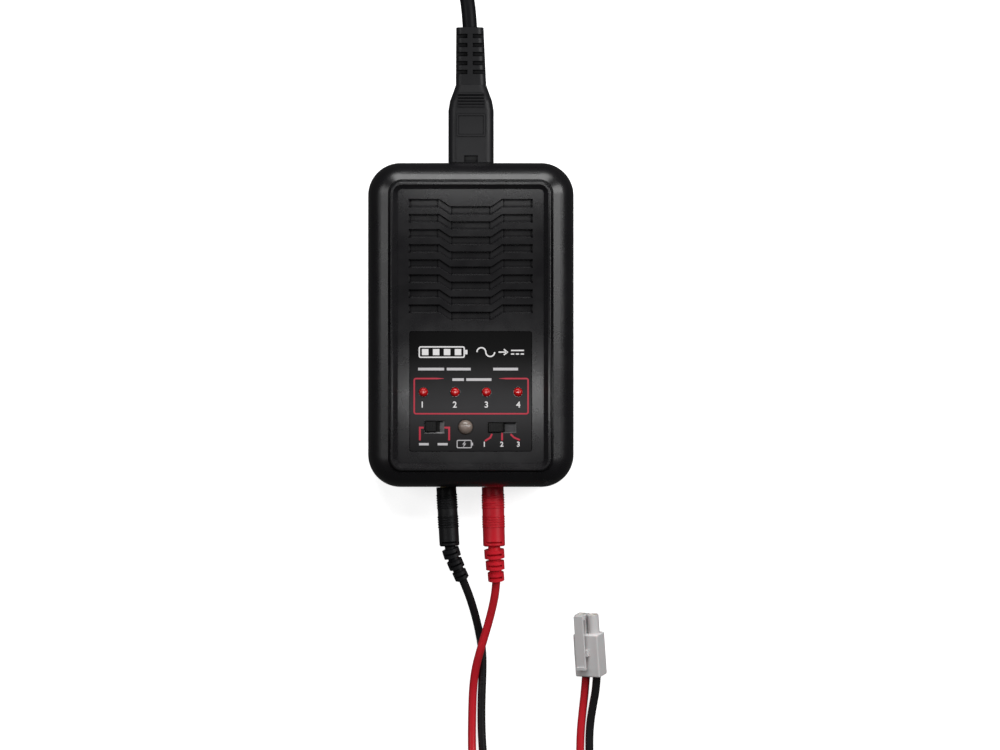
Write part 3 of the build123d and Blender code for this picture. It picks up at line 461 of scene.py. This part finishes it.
def box_line(left, bottom, right, top, corner):
    """Closed outline of a rounded box."""
    return (arc(right - corner, top - corner, corner, 90, 0)
            + arc(right - corner, bottom + corner, corner, 0, -90)
            + arc(left + corner, bottom + corner, corner, 270, 180)
            + arc(left + corner, top - corner, corner, 180, 90)
            + [(right - corner, top)])


# frame round the cell lights, open and thinning out at the top, then the leaders of the two switches
frame_line = ([(-9.1, -18.2), (-11.5, -18.2)]
              + arc(-18.5, -18.8, 0.6, 90, 180) + arc(-18.5, -29.5, 0.6, 180, 270)
              + arc(18.8, -29.5, 0.6, -90, 0) + arc(18.8, -18.8, 0.6, 0, 90)
              + [(12.0, -18.2), (9.6, -18.2)])
frame_widths = [frame_line_tip] + [frame_line_width] * (len(frame_line) - 2) + [frame_line_tip]
red_ribbons = [
    (frame_line, frame_widths),
    ([(-15.9, -34.8), (-17.2, -34.8), (-17.2, -39.1)], leader_width),
    ([(-8.9, -34.8), (-7.3, -34.8), (-7.3, -39.1)], leader_width),
    ([(7.2, -36.9), (6.6, -38.2), (4.8, -39.3)], fan_width),
    ([(10.6, -36.6), (10.6, -39.1)], fan_width),
    ([(13.5, -37.0), (14.6, -38.1), (16.6, -39.0)], fan_width),
]
white_ribbons = [
    # battery of four cells
    (box_line(-17.4, -11.0, -2.2, -7.5, 0.5), sign_width),
    ([(-1.9, -9.25), (-1.1, -9.25)], 1.5),
    *[([(x, -10.3), (x, -8.2)], cell_width) for x in (-15.4, -11.7, -8.0, -4.3)],
    # wave, arrow and steady line: alternating current in, direct current out
    (arc(3.6, -9.25, 1.5, 180, 0, 10) + arc(6.6, -9.25, 1.5, 180, 360, 10)[1:], sign_width),
    ([(9.4, -9.25), (12.2, -9.25)], sign_width),
    ([(11.2, -8.3), (12.4, -9.25), (11.2, -10.2)], sign_width),
    ([(13.6, -8.7), (18.0, -8.7)], sign_width),
    *[([(x, -9.9), (x + 1.1, -9.9)], sign_width) for x in (13.6, 15.25, 16.9)],
]
grey_ribbons = [
    # wordless caption bars
    ([(-17.8, -15.0), (-9.0, -15.0)], caption_width),
    ([(-8.1, -15.0), (0.0, -15.0)], caption_width),
    ([(7.6, -15.0), (16.0, -15.0)], caption_width),
    ([(-6.2, -18.55), (-2.3, -18.55)], caption_width),
    ([(-1.5, -18.55), (7.0, -18.55)], caption_width),
    ([(-17.5, -40.4), (-14.2, -40.4)], 0.8),
    ([(-11.2, -40.4), (-7.8, -40.4)], 0.8),
    # battery and bolt under the status light
    (box_line(-4.6, -41.6, 0.2, -39.1, 0.3), 0.3),
    ([(0.3, -40.35), (0.8, -40.35)], 1.0),
    ([(-1.9, -39.5), (-2.6, -40.4), (-1.8, -40.3), (-2.5, -41.2)], 0.28),
]
ink_red = moulded("ink_red", (0.36, 0.012, 0.032), 0.40, grain=5000.0, depth=0.000005, lift=1.1,
                  specular=0.3)
ink_white = moulded("ink_white", (0.60, 0.59, 0.59), 0.45, grain=5000.0, depth=0.000005, lift=1.05,
                    specular=0.3)
ink_grey = moulded("ink_grey", (0.42, 0.41, 0.42), 0.45, grain=5000.0, depth=0.000005, lift=1.05,
                   specular=0.3)
printed("print_red", red_ribbons, ink_red)
printed("print_white", white_ribbons, ink_white)
printed("print_grey", grey_ribbons, ink_grey)
numerals = (
    ("1", -16.4, -28.0, 2.9), ("2", -5.4, -28.0, 2.9), ("3", 5.3, -28.0, 2.9), ("4", 16.1, -28.0, 2.9),
    ("1", 4.6, -41.2, 2.35), ("2", 10.5, -41.2, 2.35), ("3", 16.1, -41.2, 2.35),
)
for order, (text, x, y, size) in enumerate(numerals):
    data = bpy.data.curves.new("numeral", "FONT")
    data.body = text
    data.align_x = "CENTER"
    data.size = size * mm
    data.extrude = numeral_thickness * mm
    data.offset = numeral_swell * mm
    link(f"numeral_{order + 1}", data, "root", ink_white, (x * mm, y * mm, print_high * mm))

# ---- floor and studio light ----
floor_size = 6.0
floor_glow = 0.8
world_glow = 0.07
floor_material, floor_nodes, _ = node_tree("floor_white")
floor_shader = floor_nodes["Principled BSDF"]
floor_shader.inputs["Base Color"].default_value = (0.8, 0.8, 0.8, 1)
floor_shader.inputs["Roughness"].default_value = 0.9
floor_shader.inputs["Specular IOR Level"].default_value = 0.0
floor_shader.inputs["Emission Color"].default_value = (1, 1, 1, 1)
floor_shader.inputs["Emission Strength"].default_value = floor_glow
bpy.ops.mesh.primitive_plane_add(size=floor_size, location=(0, 0, 0))
floor = bpy.context.object
floor.name = "floor"
floor.data.materials.append(floor_material)
floor.visible_diffuse = False
floor.visible_glossy = False

world = bpy.data.worlds.new("studio")
world.use_nodes = True
world.node_tree.nodes["Background"].inputs["Color"].default_value = (1, 1, 1, 1)
world.node_tree.nodes["Background"].inputs["Strength"].default_value = world_glow
bpy.context.scene.world = world

case_middle = (0, 0, 0.02)
strip_size = (0.060, 0.008)


def soft_light(name, place, size, power):
    """A softbox that faces the middle of the case."""
    data = bpy.data.lights.new(name, "AREA")
    data.shape = "RECTANGLE"
    data.size, data.size_y = size
    data.energy = power
    lamp = bpy.data.objects.new(name, data)
    lamp.location = place
    aim = Vector(case_middle) - Vector(place)
    lamp.rotation_euler = aim.to_track_quat("-Z", "Y").to_euler()
    bpy.context.collection.objects.link(lamp)
    return lamp


soft_light("light_far", place=(0.03, 0.88, 0.66), size=(1.0, 0.44), power=10.0)
soft_light("light_left", place=(-0.80, 0.20, 0.80), size=(0.40, 0.55), power=2.2)
soft_light("light_right", place=(0.82, 0.25, 0.76), size=(0.40, 0.70), power=5.6)


def low_strip(name, place, power):
    """A small strip light close above the case, hidden from the camera, for the soft bands on its top."""
    lamp = soft_light(name, place, strip_size, power)
    lamp.rotation_euler = (0, 0, 0)
    lamp.visible_camera = False


low_strip("strip_near", place=(0.006, -0.024, 0.112), power=0.019)
low_strip("strip_far", place=(0.005, 0.056, 0.112), power=0.013)
